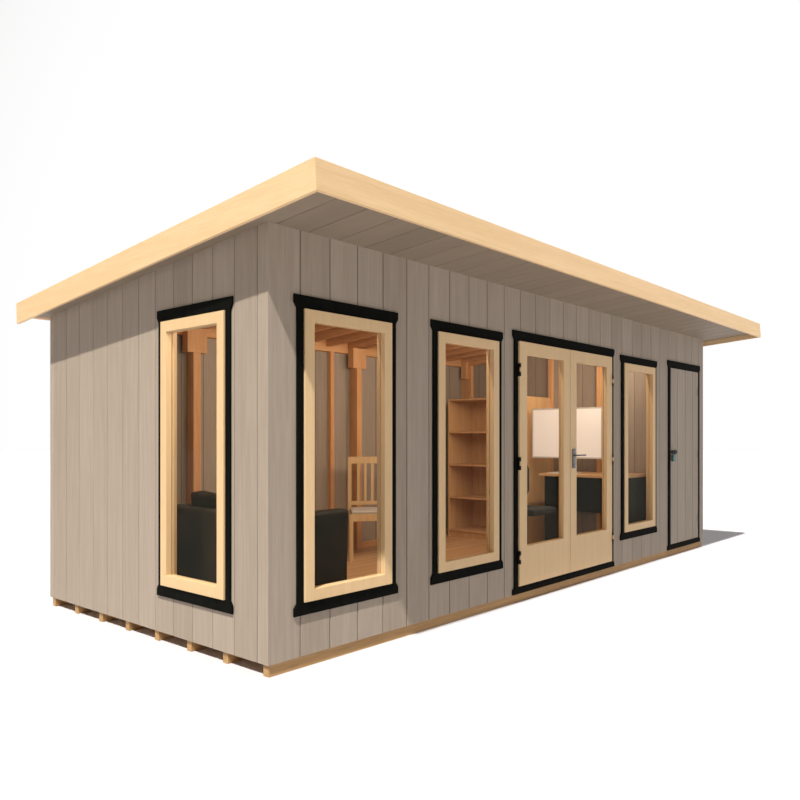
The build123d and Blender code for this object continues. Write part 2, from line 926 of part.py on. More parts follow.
def make_screen():
    """A flat screen on a neck and a base plate; its panel is let into the case."""
    low = desk_surface + screen_foot_height
    high = low + screen_height
    middle = (screen_near + screen_far) / 2
    back = screen_face + screen_thickness
    case = block((screen_face, back), (screen_near, screen_far), (low, high))
    across = (screen_near + screen_border, screen_far - screen_border)
    inside = (screen_face, screen_face + screen_panel_depth)
    panel_block = block(inside, across, (low + screen_border, high - screen_border))
    neck_y = (middle - screen_neck_width / 2, middle + screen_neck_width / 2)
    neck = block((back, back + screen_neck_depth), neck_y, (desk_surface, (low + high) / 2))
    base_x = (back + screen_neck_depth - screen_base_depth, back + screen_neck_depth)
    base_y = (middle - screen_base_width / 2, middle + screen_base_width / 2)
    base = block(base_x, base_y, (desk_surface, desk_surface + screen_base_height))
    write("screen_case", fuse([case - panel_block, neck, base]))
    write("screen_panel", panel_block)


# Seats
def soft_block(x, y, z, radius):
    """A cushion: a box with all its edges rounded."""
    shape = block(x, y, z)
    return fillet(shape.edges(), radius)


def make_sofa():
    """A square-armed two-seat sofa with loose cushions."""
    whole = (sofa_left, sofa_left + sofa_depth)
    span = (sofa_near, sofa_near + sofa_length)
    inner = (span[0] + sofa_arm, span[1] - sofa_arm)
    base = floor_top + sofa_foot
    top = floor_top + sofa_arm_height
    seat = floor_top + sofa_seat_height
    pieces = [block((sofa_left, sofa_left + sofa_arm), span, (base, top))]
    pieces.append(block(whole, (span[0], inner[0]), (base, top)))
    pieces.append(block(whole, (inner[1], span[1]), (base, top)))
    pieces.append(block(whole, inner, (base, seat - cushion_thickness)))
    for x in (whole[0], whole[1] - sofa_foot_width):
        for y in (span[0], span[1] - sofa_foot_width):
            foot = block((x, x + sofa_foot_width), (y, y + sofa_foot_width), (floor_top, base))
            pieces.append(foot)
    write("sofa_frame", fuse(pieces))
    make_sofa_cushions(whole, inner, seat)


def make_sofa_cushions(whole, inner, seat):
    middle = (inner[0] + inner[1]) / 2
    halves = ((inner[0], middle - cushion_gap / 2), (middle + cushion_gap / 2, inner[1]))
    rear = whole[0] + sofa_arm
    cushions = []
    for half in halves:
        bottom = seat - cushion_thickness
        cushions.append(soft_block((rear, whole[1]), half, (bottom, seat), cushion_round))
        back = (rear, rear + cushion_thickness)
        cushions.append(soft_block(back, half, (seat, floor_top + cushion_top), cushion_round))
    write("sofa_cushions", Compound(children=cushions))


def chair_back_pieces(half_width, back):
    """Top rail, low rail and slats between the back legs."""
    inner = (dining_leg - half_width, half_width - dining_leg)
    rail_y = (back - dining_board, back)
    low = dining_seat_height + dining_low_rail_gap
    top = dining_back_height - dining_top_rail
    pieces = [block(inner, rail_y, (top, dining_back_height))]
    pieces.append(block(inner, rail_y, (low, low + dining_low_rail)))
    middle = back - dining_board / 2
    slat_y = (middle - dining_slat_thickness / 2, middle + dining_slat_thickness / 2)
    for place in spread(inner[0], inner[1], dining_slats):
        across = (place - dining_slat_width / 2, place + dining_slat_width / 2)
        pieces.append(block(across, slat_y, (low, top)))
    return pieces


def make_dining_chair():
    """Drawn with x across the seat, y towards its back and z up from the floor."""
    half = dining_width / 2
    back = dining_depth / 2
    seat = dining_seat_height
    under = seat - dining_apron
    pieces = [block((-half, half), (-back, back), (seat - dining_board, seat))]
    for x in (-half, half - dining_leg):
        across = (x, x + dining_leg)
        pieces.append(block(across, (-back, dining_leg - back), (0, seat)))
        pieces.append(block(across, (back - dining_leg, back), (0, dining_back_height)))
    for y in (-back, back - dining_board):
        pieces.append(block((-half, half), (y, y + dining_board), (under, seat)))
    for x in (-half, half - dining_board):
        pieces.append(block((x, x + dining_board), (-back, back), (under, seat)))
    pieces += chair_back_pieces(half, back)
    place = Pos(dining_place[0], dining_place[1], floor_top) * Rot(0, 0, dining_turn)
    write("dining_chair", place * fuse(pieces))
    edge = dining_pad_edge
    pad_x = (edge - half, half - edge)
    pad_y = (edge - back, back - dining_leg - edge)
    pad = soft_block(pad_x, pad_y, (seat, seat + dining_pad), edge)
    write("dining_chair_pad", place * pad)


def make_desk_chair():
    """Drawn round its column, with x towards the desk and z up from the floor."""
    seat_x, seat_y, seat_z = desk_chair_seat
    back_x, back_y, back_z = desk_chair_back
    rear = -seat_x / 2
    seat_low = desk_chair_seat_top - seat_z
    seat_range = ((rear, seat_x / 2), (-seat_y / 2, seat_y / 2), (seat_low, desk_chair_seat_top))
    seat = soft_block(*seat_range, desk_chair_round)
    back_low = desk_chair_back_top - back_z
    back = block((rear - back_x, rear), (-back_y / 2, back_y / 2), (back_low, desk_chair_back_top))
    back = fillet(back.edges().filter_by(Axis.X), desk_chair_back_round)
    place = Pos(desk_chair_place[0], desk_chair_place[1], floor_top)
    write("desk_chair_cushions", place * Compound(children=[seat, back]))
    bar_low = seat_low - desk_chair_bar
    bar_y = (-desk_chair_bar_width / 2, desk_chair_bar_width / 2)
    behind = rear - back_x - desk_chair_bar
    pieces = [block((behind, column_radius), bar_y, (bar_low, seat_low))]
    pieces.append(block((behind, rear - back_x), bar_y, (bar_low, back_low + back_z / 2)))
    pieces.append(upright_rod(0, 0, column_radius, (star_foot, bar_low)))
    for index in range(star_legs):
        turn = Rot(0, 0, 360 / star_legs * (index + 1 / 2))
        leg_y = (-star_width / 2, star_width / 2)
        pieces.append(turn * block((0, star_length), leg_y, (star_foot, star_foot + star_height)))
        wheel = Rot(90, 0, 0) * Cylinder(caster_radius, caster_width)
        pieces.append(turn * Pos(star_length - caster_radius, 0, caster_radius) * wheel)
    write("desk_chair_frame", place * fuse(pieces))


def make_all():
    os.makedirs("parts", exist_ok=True)
    make_bearers()
    make_floor()
    make_front_wall()
    make_other_walls()
    make_long_wall_plates()
    make_long_wall_studs()
    make_cross_wall_plates()
    make_cross_wall_studs()
    make_partition_lining()
    make_roof_posts()
    make_joists()
    make_trimmers()
    make_soffit()
    make_covering()
    make_fascias()
    make_windows()
    make_doorways()
    make_double_doors()
    make_store_door()
    make_hinges()
    make_lock()
    make_shelf_unit()
    make_desk()
    make_screen()
    make_sofa()
    make_dining_chair()
    make_desk_chair()


make_all()
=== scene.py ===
# %% [markdown]
# # A timber garden room, dressed for its portrait
# The building's pieces arrive from its construction model as plain solids. This lesson keeps
# every size and place that they have, and gives each visible surface what a maker's eye
# expects: grooved boards, softened timber edges, paint, grain, glass, a roof covering and
# ironmongery. Each step first says what the thing is on a real garden room, then makes it.

# %% Load the frame
import json
import math

import bmesh
import bpy
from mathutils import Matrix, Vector
from mathutils.bvhtree import BVHTree


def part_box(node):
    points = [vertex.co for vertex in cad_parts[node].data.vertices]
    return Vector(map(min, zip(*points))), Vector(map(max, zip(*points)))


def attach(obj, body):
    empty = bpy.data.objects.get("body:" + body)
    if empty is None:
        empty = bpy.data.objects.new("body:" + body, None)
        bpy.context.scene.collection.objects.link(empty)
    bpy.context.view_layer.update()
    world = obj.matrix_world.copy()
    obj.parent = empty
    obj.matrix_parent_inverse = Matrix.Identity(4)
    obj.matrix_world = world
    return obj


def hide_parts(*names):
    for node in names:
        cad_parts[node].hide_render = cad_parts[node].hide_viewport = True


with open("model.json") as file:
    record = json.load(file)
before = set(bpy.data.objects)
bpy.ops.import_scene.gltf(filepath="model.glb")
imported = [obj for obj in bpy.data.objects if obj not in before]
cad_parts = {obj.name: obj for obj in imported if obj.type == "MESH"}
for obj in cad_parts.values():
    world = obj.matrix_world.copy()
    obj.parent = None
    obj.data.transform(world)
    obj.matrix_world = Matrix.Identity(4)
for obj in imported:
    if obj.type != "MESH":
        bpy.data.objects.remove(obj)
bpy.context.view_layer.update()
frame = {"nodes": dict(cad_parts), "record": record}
nodes = frame["nodes"]


def put_in_scene(name, data):
    """A new object for some data, linked into the scene."""
    thing = bpy.data.objects.new(name, data)
    bpy.context.scene.collection.objects.link(thing)
    return thing


# %% [markdown]
# ## Camera and light
# The photo was taken from the front left at chest height, with the camera held level, so all
# the uprights stay upright in the picture. A level camera with its lens shifted keeps them so;
# tilting the camera instead would make the walls lean. The place is measured from the
# building's front left corner.

# %% Camera
MM = 0.001
front_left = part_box("front_wall_left")[0]
camera_step = Vector((-2135, -2935.5, 1150)) * MM
camera_turn = math.radians(-51.22)
lens = 33.18
lens_shift = (-0.0855, 0.04625)
sensor_width = 36
view_reach = 200

camera_data = bpy.data.cameras.new("camera")
camera_data.lens = lens
camera_data.sensor_width = sensor_width
camera_data.shift_x, camera_data.shift_y = lens_shift
camera_data.clip_end = view_reach
camera = put_in_scene("camera", camera_data)
camera.location = (front_left.x + camera_step.x, front_left.y + camera_step.y, camera_step.z)
camera.rotation_euler = (math.pi / 2, 0, camera_turn)
bpy.context.scene.camera = camera
print("camera at", [round(value, 3) for value in camera.location])

# %% [markdown]
# ## Studio
# A white backdrop and a pale floor keep the picture plain. One sun comes from the upper
# left, as in the photo, where the end wall is bright, the front is in its own shade and the
# deep eaves draw a sloping line of shadow. The surround is white behind the building and a
# warm grey towards the front left, as a studio is: the shade keeps its depth and the window
# panes have something darker to mirror. The photo's room is lit well enough to show its frame
# and its furniture, so a long soft light hides indoors above the window heads.

# %% Studio
sun_travel = Vector((0.543, 0.25, -1.0))
sun_strength = 5.7
sun_colour = (1.0, 0.95, 0.88)
sun_spread = math.radians(1.2)
backdrop_light = (1.0, 1.0, 1.0, 1.0)
near_side_light = (0.215, 0.193, 0.163, 1.0)
backdrop_turn = math.radians(-68)
backdrop_blend = (0.15, 0.68)
floor_half_size = 60
floor_colour = (0.60, 0.60, 0.645, 1.0)
room_light_power = 50
room_light_colour = (1.0, 0.82, 0.62)
room_light_size = (3.9, 0.06)
room_light_across, room_light_behind_wall, room_light_height = -0.5, 0.09, 1.95
room_light_aim = Vector((0.0, 0.85, -0.5))


def aim(light, direction):
    """Turn a light so that it shines along a direction."""
    light.rotation_euler = direction.to_track_quat("-Z", "Y").to_euler()


def make_sun():
    data = bpy.data.lights.new("sun", "SUN")
    data.energy = sun_strength
    data.angle = sun_spread
    data.color = sun_colour
    aim(put_in_scene("sun", data), sun_travel)


def make_surround():
    """White behind the building, and a dim warm grey on the camera's side."""
    world = bpy.data.worlds.new("surround")
    world.use_nodes = True
    tree = world.node_tree
    towards = tree.nodes.new("ShaderNodeTexCoord")
    facing = tree.nodes.new("ShaderNodeVectorMath")
    facing.operation = "DOT_PRODUCT"
    facing.inputs[1].default_value = (-math.sin(backdrop_turn), math.cos(backdrop_turn), 0.0)
    tree.links.new(towards.outputs["Generated"], facing.inputs[0])
    level = tree.nodes.new("ShaderNodeMapRange")
    level.interpolation_type = "SMOOTHSTEP"
    level.inputs["From Min"].default_value, level.inputs["From Max"].default_value = backdrop_blend
    tree.links.new(facing.outputs["Value"], level.inputs["Value"])
    blend = tree.nodes.new("ShaderNodeMix")
    blend.data_type = "RGBA"
    blend.inputs["A"].default_value = near_side_light
    blend.inputs["B"].default_value = backdrop_light
    tree.links.new(level.outputs["Result"], blend.inputs["Factor"])
    tree.links.new(blend.outputs["Result"], tree.nodes["Background"].inputs["Color"])
    bpy.context.scene.world = world


def make_ground():
    mesh = bpy.data.meshes.new("studio_floor")
    corners = [(-1, -1, 0), (1, -1, 0), (1, 1, 0), (-1, 1, 0)]
    corners = [tuple(floor_half_size * value for value in corner) for corner in corners]
    mesh.from_pydata(corners, [], [(0, 1, 2, 3)])
    material = bpy.data.materials.new("studio_floor_paint")
    material.use_nodes = True
    shader = material.node_tree.nodes["Principled BSDF"]
    shader.inputs["Base Color"].default_value = floor_colour
    shader.inputs["Roughness"].default_value = 0.9
    shader.inputs["Specular IOR Level"].default_value = 0.1
    mesh.materials.append(material)
    put_in_scene("studio_floor", mesh)


def make_room_light():
    """A long soft light behind the front wall, above the heads of the windows."""
    wall_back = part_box("front_wall_left")[1].y
    data = bpy.data.lights.new("room_light", "AREA")
    data.shape = "RECTANGLE"
    data.size, data.size_y = room_light_size
    data.energy = room_light_power
    data.color = room_light_colour
    light = put_in_scene("room_light", data)
    light.location = (room_light_across, wall_back + room_light_behind_wall, room_light_height)
    aim(light, room_light_aim)


make_sun()
make_surround()
make_room_light()
make_ground()
bpy.context.scene.view_settings.view_transform = "Standard"
print("studio ready")

# %% [markdown]
# ## Shader helpers
# Every finish is painted by rules, not by pictures. Two effects turn up in many finishes, so
# each is a node group with named inputs: wood grain, which is noise pulled long and thin
# along a board, and a tone for each board, which is one random number per board width. The
# groups read Object coordinates, and every piece's object sits at the origin, so a pattern
# runs on from one piece to the next at its true scale. A few short functions place the nodes
# that every finish needs.

# %% Small helpers for node trees


def add_node(tree, kind, **settings):
    """A node with some of its settings changed."""
    node = tree.nodes.new(kind)
    for name, value in settings.items():
        setattr(node, name, value)
    return node


def math_node(tree, operation, first, second=None):
    """A maths node that takes links or numbers."""
    node = add_node(tree, "ShaderNodeMath", operation=operation)
    for socket, value in zip(node.inputs, (first, second)):
        if value is None:
            continue
        if isinstance(value, (int, float)):
            socket.default_value = value
        else:
            tree.links.new(value, socket)
    return node.outputs[0]


def added(tree, first, second):
    return math_node(tree, "ADD", first, second)


def times(tree, first, second):
    return math_node(tree, "MULTIPLY", first, second)


def new_group(name, inputs, outputs):
    """A shader node group with its sockets, given as name, type and default."""
    group = bpy.data.node_groups.new(name, "ShaderNodeTree")
    for label, kind, default in inputs:
        socket = group.interface.new_socket(label, in_out="INPUT", socket_type=kind)
        if default is not None:
            socket.default_value = default
    for label, kind in outputs:
        group.interface.new_socket(label, in_out="OUTPUT", socket_type=kind)
    entry = add_node(group, "NodeGroupInput")
    way_out = add_node(group, "NodeGroupOutput")
    return group, entry, way_out


def place_group(tree, group, **values):
    """A node for a group, with its inputs given by name."""
    node = add_node(tree, "ShaderNodeGroup", node_tree=group)
    for label, value in values.items():
        node.inputs[label.replace("_", " ")].default_value = value
    return node


def mix_colours(tree, factor, first, second):
    """A colour between two, by a factor."""
    node = add_node(tree, "ShaderNodeMix", data_type="RGBA")
    tree.links.new(factor, node.inputs["Factor"])
    for socket, value in ((node.inputs["A"], first), (node.inputs["B"], second)):
        if isinstance(value, tuple):
            socket.default_value = (*value, 1.0)
        else:
            tree.links.new(value, socket)
    return node.outputs["Result"]


def scaled(colour, amount):
    """A darker or paler shade of a colour."""
    return tuple(min(1.0, channel * amount) for channel in colour)


def spread_mask(tree, value, low, high):
    """A soft mask from 0 at low to 1 at high."""
    node = add_node(tree, "ShaderNodeMapRange", interpolation_type="SMOOTHSTEP")
    node.inputs["From Min"].default_value = low
    node.inputs["From Max"].default_value = high
    tree.links.new(value, node.inputs["Value"])
    return node.outputs["Result"]


def new_material(name):
    """A material, its tree, its shader and the coordinates that its patterns follow."""
    material = bpy.data.materials.new(name)
    material.use_nodes = True
    tree = material.node_tree
    place = add_node(tree, "ShaderNodeTexCoord").outputs["Object"]
    return material, tree, tree.nodes["Principled BSDF"], place


def noise_at(tree, place, scale, detail, distortion=0.0):
    """The value of a noise that follows the place."""
    noise = add_node(tree, "ShaderNodeTexNoise")
    noise.inputs["Scale"].default_value = scale
    noise.inputs["Detail"].default_value = detail
    noise.inputs["Distortion"].default_value = distortion
    tree.links.new(place, noise.inputs["Vector"])
    return noise.outputs["Fac"]


def add_relief(tree, shader, height, strength, distance):
    """A bump of the surface from a height; distance is its depth in metres."""
    relief = add_node(tree, "ShaderNodeBump")
    relief.inputs["Strength"].default_value = strength
    relief.inputs["Distance"].default_value = distance
    tree.links.new(height, relief.inputs["Height"])
    tree.links.new(relief.outputs["Normal"], shader.inputs["Normal"])


# %% [markdown]
# ### Wood grain
# Planed softwood shows fine lines along the board and slower, wider bands between them. Two
# noises do it: a fine one for the lines and a coarse one that bends the bands. The Stretch
# input is the scale along each axis; the axis with the small number is the one that the
# grain runs along.

# %% Grain group


def make_grain_group():
    group, entry, way_out = new_group(
        "wood_grain",
        [
            ("Vector", "NodeSocketVector", None),
            ("Stretch", "NodeSocketVector", (1.0, 1.0, 0.05)),
            ("Fine Scale", "NodeSocketFloat", 180.0),
            ("Band Scale", "NodeSocketFloat", 22.0),
        ],
        [
            ("Lines", "NodeSocketFloat"),
            ("Bands", "NodeSocketFloat"),
            ("Height", "NodeSocketFloat"),
        ],
    )
    stretched = add_node(group, "ShaderNodeVectorMath", operation="MULTIPLY")
    group.links.new(entry.outputs["Vector"], stretched.inputs[0])
    group.links.new(entry.outputs["Stretch"], stretched.inputs[1])
    fine = add_node(group, "ShaderNodeTexNoise")
    fine.inputs["Detail"].default_value = 3.0
    fine.inputs["Roughness"].default_value = 0.6
    bands = add_node(group, "ShaderNodeTexNoise")
    bands.inputs["Detail"].default_value = 2.0
    bands.inputs["Distortion"].default_value = 0.6
    for node, scale in ((fine, "Fine Scale"), (bands, "Band Scale")):
        group.links.new(stretched.outputs[0], node.inputs["Vector"])
        group.links.new(entry.outputs[scale], node.inputs["Scale"])
    height = times(group, added(group, fine.outputs["Fac"], bands.outputs["Fac"]), 0.5)
    group.links.new(fine.outputs["Fac"], way_out.inputs["Lines"])
    group.links.new(bands.outputs["Fac"], way_out.inputs["Bands"])
    group.links.new(height, way_out.inputs["Height"])
    return group


# %% [markdown]
# ### A tone for each board
# No two boards take paint or daylight quite alike. The board's number is its place divided by
# the board's width, rounded down, and white noise turns that number into a tone. What is left
# over says how near the joint is, and the dirt and shade in a joint follow from that. The
# sheet's own edge, where the count starts, has no joint.

# %% Board tone group
joint_core = 0.0008


def make_tone_group():
    group, entry, way_out = new_group(
        "board_tone",
        [
            ("Place", "NodeSocketFloat", 0.0),
            ("Start", "NodeSocketFloat", 0.0),
            ("Board Width", "NodeSocketFloat", 0.19),
            ("Joint Half Width", "NodeSocketFloat", 0.0035),
        ],
        [("Tone", "NodeSocketFloat"), ("Joint", "NodeSocketFloat")],
    )
    shifted = math_node(group, "SUBTRACT", entry.outputs["Place"], entry.outputs["Start"])
    count = math_node(group, "DIVIDE", shifted, entry.outputs["Board Width"])
    white = add_node(group, "ShaderNodeTexWhiteNoise", noise_dimensions="1D")
    group.links.new(math_node(group, "FLOOR", count), white.inputs["W"])
    group.links.new(white.outputs["Value"], way_out.inputs["Tone"])
    part = math_node(group, "FRACT", count)
    nearest = math_node(group, "MINIMUM", part, math_node(group, "SUBTRACT", 1.0, part))
    gap = add_node(group, "ShaderNodeMapRange", interpolation_type="SMOOTHSTEP")
    group.links.new(times(group, nearest, entry.outputs["Board Width"]), gap.inputs["Value"])
    group.links.new(entry.outputs["Joint Half Width"], gap.inputs["From Max"])
    gap.inputs["From Min"].default_value = joint_core
    gap.inputs["To Min"].default_value = 1.0
    gap.inputs["To Max"].default_value = 0.0
    past_edge = math_node(group, "GREATER_THAN", count, 0.5)
    group.links.new(times(group, gap.outputs["Result"], past_edge), way_out.inputs["Joint"])
    return group


grain_group = make_grain_group()
tone_group = make_tone_group()
print("groups", grain_group.name, tone_group.name)

# %% [markdown]
# ## Timber and paint
# One function makes every timber finish, because bare and painted boards differ only in
# numbers: two colours, how strongly the grain shows, how rough the surface is and which way
# the board runs. The grain feeds colour, roughness and a shallow bump.

# %% Timber finishes
ALONG_X = (0.04, 1.0, 1.0)
ALONG_Y = (1.0, 0.04, 1.0)
ALONG_Z = (1.0, 1.0, 0.04)
line_range, band_range = (0.32, 0.68), (0.35, 0.7)
line_share, band_share = 0.55, 0.45
grain_share, tone_share = 0.6, 0.4
joint_depth = 0.85
joint_shade = 0.2
grain_gloss = 0.16


def timber(
    name, dark, pale, along, roughness, bump, boards=None, shine=0.3, fine=180.0, bands=22.0
):
    """A timber or painted finish. boards is the axis, start and width of its boards."""
    material, tree, shader, place = new_material(name)
    grain = place_group(tree, grain_group, Stretch=along, Fine_Scale=fine, Band_Scale=bands)
    tree.links.new(place, grain.inputs["Vector"])
    lines = times(tree, spread_mask(tree, grain.outputs["Lines"], *line_range), line_share)
    band = times(tree, spread_mask(tree, grain.outputs["Bands"], *band_range), band_share)
    factor = added(tree, lines, band)
    joint = None
    if boards:
        axis, start, width = boards
        split = add_node(tree, "ShaderNodeSeparateXYZ")
        tree.links.new(place, split.inputs[0])
        board = place_group(tree, tone_group, Start=start, Board_Width=width)
        tree.links.new(split.outputs[axis], board.inputs["Place"])
        tone = times(tree, board.outputs["Tone"], tone_share)
        factor = added(tree, times(tree, factor, grain_share), tone)
        joint = times(tree, board.outputs["Joint"], joint_depth)
    colour = mix_colours(tree, factor, dark, pale)
    if joint:
        colour = mix_colours(tree, joint, colour, scaled(dark, joint_shade))
    tree.links.new(colour, shader.inputs["Base Color"])
    gloss = times(tree, grain.outputs["Lines"], grain_gloss)
    rough = added(tree, gloss, roughness - grain_gloss / 2)
    tree.links.new(rough, shader.inputs["Roughness"])
    shader.inputs["Specular IOR Level"].default_value = shine
    add_relief(tree, shader, grain.outputs["Height"], bump, 0.001)
    return material


board_width = 190.8 * MM
floor_board = 0.12
first_end_joint = 88.5 * MM
left_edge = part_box("front_wall_left")[0].x
front_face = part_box("front_wall_left")[0].y
roof_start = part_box("roof_soffit")[0].x
end_start = front_face + first_end_joint - board_width
front_boards = ("X", left_edge, board_width)
end_boards = ("Y", end_start, board_width)
eaves_boards = ("X", roof_start, board_width)
narrow_boards = ("Y", front_face, floor_board)
paint_dark, paint_pale = (0.29, 0.238, 0.187), (0.39, 0.33, 0.265)
paint_grain = (0.3, 110.0, 30.0)
fascia = (0.68, 0.47, 0.25), (0.76, 0.55, 0.32)
bare = (0.56, 0.29, 0.12), (0.74, 0.42, 0.20)
timbers = {
    "painted_front": (paint_dark, paint_pale, ALONG_Z, 0.6, 0.3, front_boards, *paint_grain),
    "painted_end": (paint_dark, paint_pale, ALONG_Z, 0.6, 0.3, end_boards, *paint_grain),
    # The eaves' boards have the walls' grey paint, here in a darker copy: painted shade under the
    # eaves.
    "shaded_soffit_paint": ((0.21, 0.168, 0.122), (0.27, 0.215, 0.155), ALONG_Y, 0.6, 0.2, eaves_boards),
    "fascia_front": (*fascia, ALONG_X, 0.5, 0.12),
    "fascia_side": (*fascia, ALONG_Y, 0.5, 0.12),
    "cream_upright": ((0.65, 0.455, 0.243), (0.70, 0.505, 0.28), ALONG_Z, 0.5, 0.1),
    "dark_upright": (
        (0.003, 0.0033, 0.0027), (0.007, 0.0075, 0.006), ALONG_Z, 0.7, 0.2, None, 0.03
    ),
    "frame_upright": (*bare, ALONG_Z, 0.6, 0.2),
    "frame_along_x": (*bare, ALONG_X, 0.6, 0.2),
    "frame_along_y": ((0.52, 0.26, 0.11), (0.70, 0.38, 0.18), ALONG_Y, 0.6, 0.2),
    "bearer": ((0.36, 0.21, 0.085), (0.50, 0.31, 0.14), ALONG_X, 0.65, 0.25),
    "floor": ((0.52, 0.30, 0.14), (0.70, 0.45, 0.24), ALONG_X, 0.5, 0.2, narrow_boards),
    "roof_underside": (
        (0.40, 0.18, 0.08), (0.54, 0.27, 0.13), ALONG_X, 0.65, 0.25, narrow_boards
    ),
    "furniture": ((0.58, 0.34, 0.15), (0.72, 0.46, 0.23), ALONG_Z, 0.5, 0.12),
    "desk_base": ((0.018, 0.020, 0.010), (0.035, 0.038, 0.020), ALONG_Z, 0.5, 0.1),
    "chair_timber": ((0.62, 0.42, 0.20), (0.74, 0.54, 0.30), ALONG_Z, 0.45, 0.1),
}
finishes = {name: timber(name, *values) for name, values in timbers.items()}
print("timber finishes", len(finishes))

# %% [markdown]
# ## Glass and metal
# Window glass this clear is best made as a thin, nearly see-through gloss: light passes
# straight through the pane, so the room behind it stays as bright as in the photo. The
# ironmongery is enamel or lacquer over metal with a faint mottle, and so are the plastics of
# the screen and the desk chair.

# %% Glass, metal and plastic finishes


def plain_finish(name, colour, metallic, roughness, scale, mottle):
    """Enamel, lacquer or plastic: one colour with a fine mottle in tone and gloss."""
    material, tree, shader, place = new_material(name)
    noise = noise_at(tree, place, scale, 4.0)
    dark, pale = scaled(colour, 1 - mottle), scaled(colour, 1 + mottle)
    tree.links.new(mix_colours(tree, noise, dark, pale), shader.inputs["Base Color"])
    rough = added(tree, times(tree, noise, 0.2), roughness - 0.1)
    tree.links.new(rough, shader.inputs["Roughness"])
    shader.inputs["Metallic"].default_value = metallic
    add_relief(tree, shader, noise, mottle, 0.0005)
    return material


def clear_glass():
    material = bpy.data.materials.new("clear_glass")
    material.use_nodes = True
    shader = material.node_tree.nodes["Principled BSDF"]
    shader.inputs["Base Color"].default_value = (0.03, 0.04, 0.025, 1)
    shader.inputs["Roughness"].default_value = 0.03
    shader.inputs["Specular IOR Level"].default_value = 0.4
    shader.inputs["Alpha"].default_value = 0.08
    return material


enamels = {
    "hinge_cream": ((0.64, 0.45, 0.24), 0.1, 0.5, 300, 0.06),
    "hinge_metal": ((0.02, 0.02, 0.021), 0.6, 0.4, 400, 0.3),
    "handle_metal": ((0.16, 0.17, 0.18), 0.9, 0.35, 500, 0.15),
    "black_metal": ((0.012, 0.012, 0.012), 0.5, 0.35, 400, 0.3),
    "padlock_metal": ((0.10, 0.19, 0.19), 0.5, 0.45, 300, 0.2),
    "black_plastic": ((0.02, 0.02, 0.02), 0.0, 0.5, 600, 0.2),
    "white_plastic": ((0.62, 0.62, 0.60), 0.0, 0.45, 600, 0.04),
    "screen_face": ((0.86, 0.82, 0.76), 0.0, 0.4, 200, 0.02),
}
finishes["glass"] = clear_glass()
for name, values in enamels.items():
    finishes[name] = plain_finish(name, *values)
lit_screen = finishes["screen_face"].node_tree.nodes["Principled BSDF"]
lit_screen.inputs["Emission Color"].default_value = (1.0, 0.93, 0.84, 1.0)
lit_screen.inputs["Emission Strength"].default_value = 0.25
print("hard finishes", len(finishes))

# %% [markdown]
# ### The roof's covering
# The roof is covered with mineral felt: strips about a metre wide run along the building, and
# each laps over the one below it. A grit of pale and dark grains covers them, and the laps
# show as a darker line with a small step.

# %% Roof felt
felt_width = 0.95
felt_start = front_face - 0.5
lap_half_width = 0.012


def felt_finish(name, colour):
    material, tree, shader, place = new_material(name)
    grit = noise_at(tree, place, 700.0, 2.0)
    weather = noise_at(tree, place, 2.2, 5.0)
    split = add_node(tree, "ShaderNodeSeparateXYZ")
    tree.links.new(place, split.inputs[0])
    strips = place_group(
        tree,
        tone_group,
        Start=felt_start,
        Board_Width=felt_width,
        Joint_Half_Width=lap_half_width,
    )
    tree.links.new(split.outputs["Y"], strips.inputs["Place"])
    speckle = times(tree, spread_mask(tree, grit, 0.35, 0.65), 0.5)
    patches = times(tree, spread_mask(tree, weather, 0.3, 0.7), 0.3)
    strip_tone = times(tree, strips.outputs["Tone"], 0.2)
    tones = added(tree, added(tree, speckle, patches), strip_tone)
    felt = mix_colours(tree, tones, scaled(colour, 0.6), scaled(colour, 1.6))
    lapped = mix_colours(tree, strips.outputs["Joint"], felt, scaled(colour, 0.3))
    tree.links.new(lapped, shader.inputs["Base Color"])
    shader.inputs["Roughness"].default_value = 0.92
    shader.inputs["Specular IOR Level"].default_value = 0.25
    height = math_node(tree, "SUBTRACT", grit, strips.outputs["Joint"])
    add_relief(tree, shader, height, 0.5, 0.002)
    return material


finishes["roof_sheet"] = felt_finish("roof_sheet", (0.055, 0.056, 0.06))

# %% [markdown]
# ### Leather and cloth
# The sofa's hide is pebbled: cells a few millimetres across, with creases and slow patches
# where it has been sat on, which are also a little glossier. The chairs wear woven cloth: a
# thread runs along each axis, and where two of them cross they make the small lumps of the
# weave. A faint sheen catches the light that skims over the fibres.

# %% Soft finishes


def hide_finish(name, colour):
    material, tree, shader, place = new_material(name)
    pebbles = add_node(tree, "ShaderNodeTexVoronoi", feature="SMOOTH_F1")
    pebbles.inputs["Scale"].default_value = 260.0
    tree.links.new(place, pebbles.inputs["Vector"])
    creases = noise_at(tree, place, 14.0, 6.0, 1.6)
    worn = spread_mask(tree, noise_at(tree, place, 4.0, 2.0), 0.35, 0.7)
    grain = times(tree, pebbles.outputs["Distance"], 0.5)
    tones = added(tree, times(tree, worn, 0.6), times(tree, grain, 0.8))
    colours = mix_colours(tree, tones, scaled(colour, 0.6), scaled(colour, 1.7))
    tree.links.new(colours, shader.inputs["Base Color"])
    gloss = math_node(tree, "SUBTRACT", 0.62, times(tree, worn, 0.14))
    tree.links.new(gloss, shader.inputs["Roughness"])
    shader.inputs["Specular IOR Level"].default_value = 0.25
    add_relief(tree, shader, added(tree, grain, times(tree, creases, 1.5)), 0.5, 0.0015)
    return material


